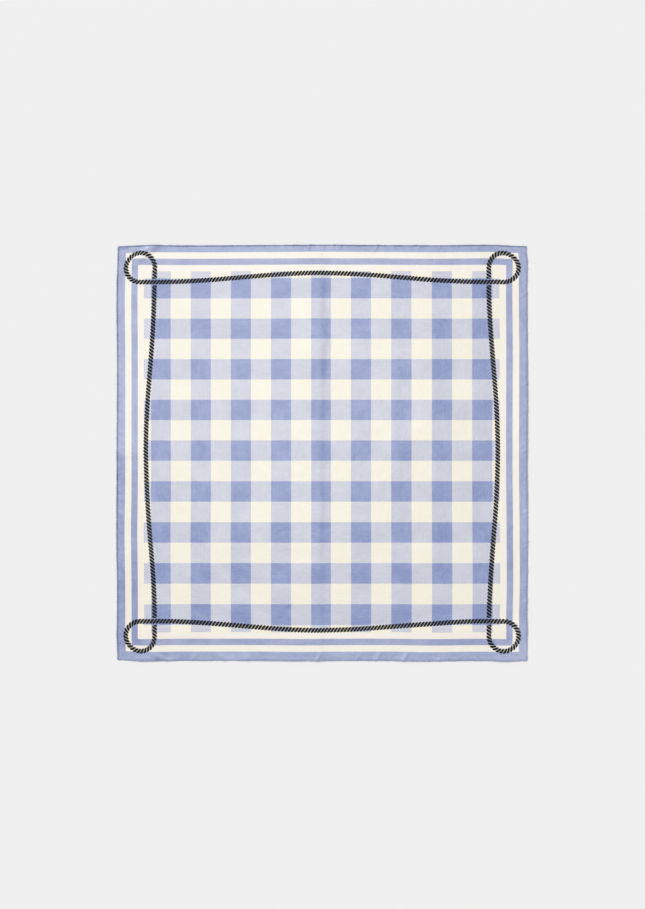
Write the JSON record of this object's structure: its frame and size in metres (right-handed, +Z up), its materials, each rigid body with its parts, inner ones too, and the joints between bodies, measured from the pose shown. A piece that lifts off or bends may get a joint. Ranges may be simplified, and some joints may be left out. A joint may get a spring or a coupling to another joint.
{
  "type": "gingham scarf",
  "caption": "Square printed silk scarf laid out flat, with a rolled hem and soft creases where it was folded.",
  "frame": {"origin": "middle of the scarf, on the surface that it lies on", "axes": "+Z up from the surface, +X across the scarf to the picture's right, +Y towards the picture's top"},
  "size_m": [0.7, 0.709, 0.0036],
  "materials": {
    "printed_silk_twill": "satin"
  },
  "bodies": {
    "root": {"scarf": "printed_silk_twill"}
  },
  "joints": []
}
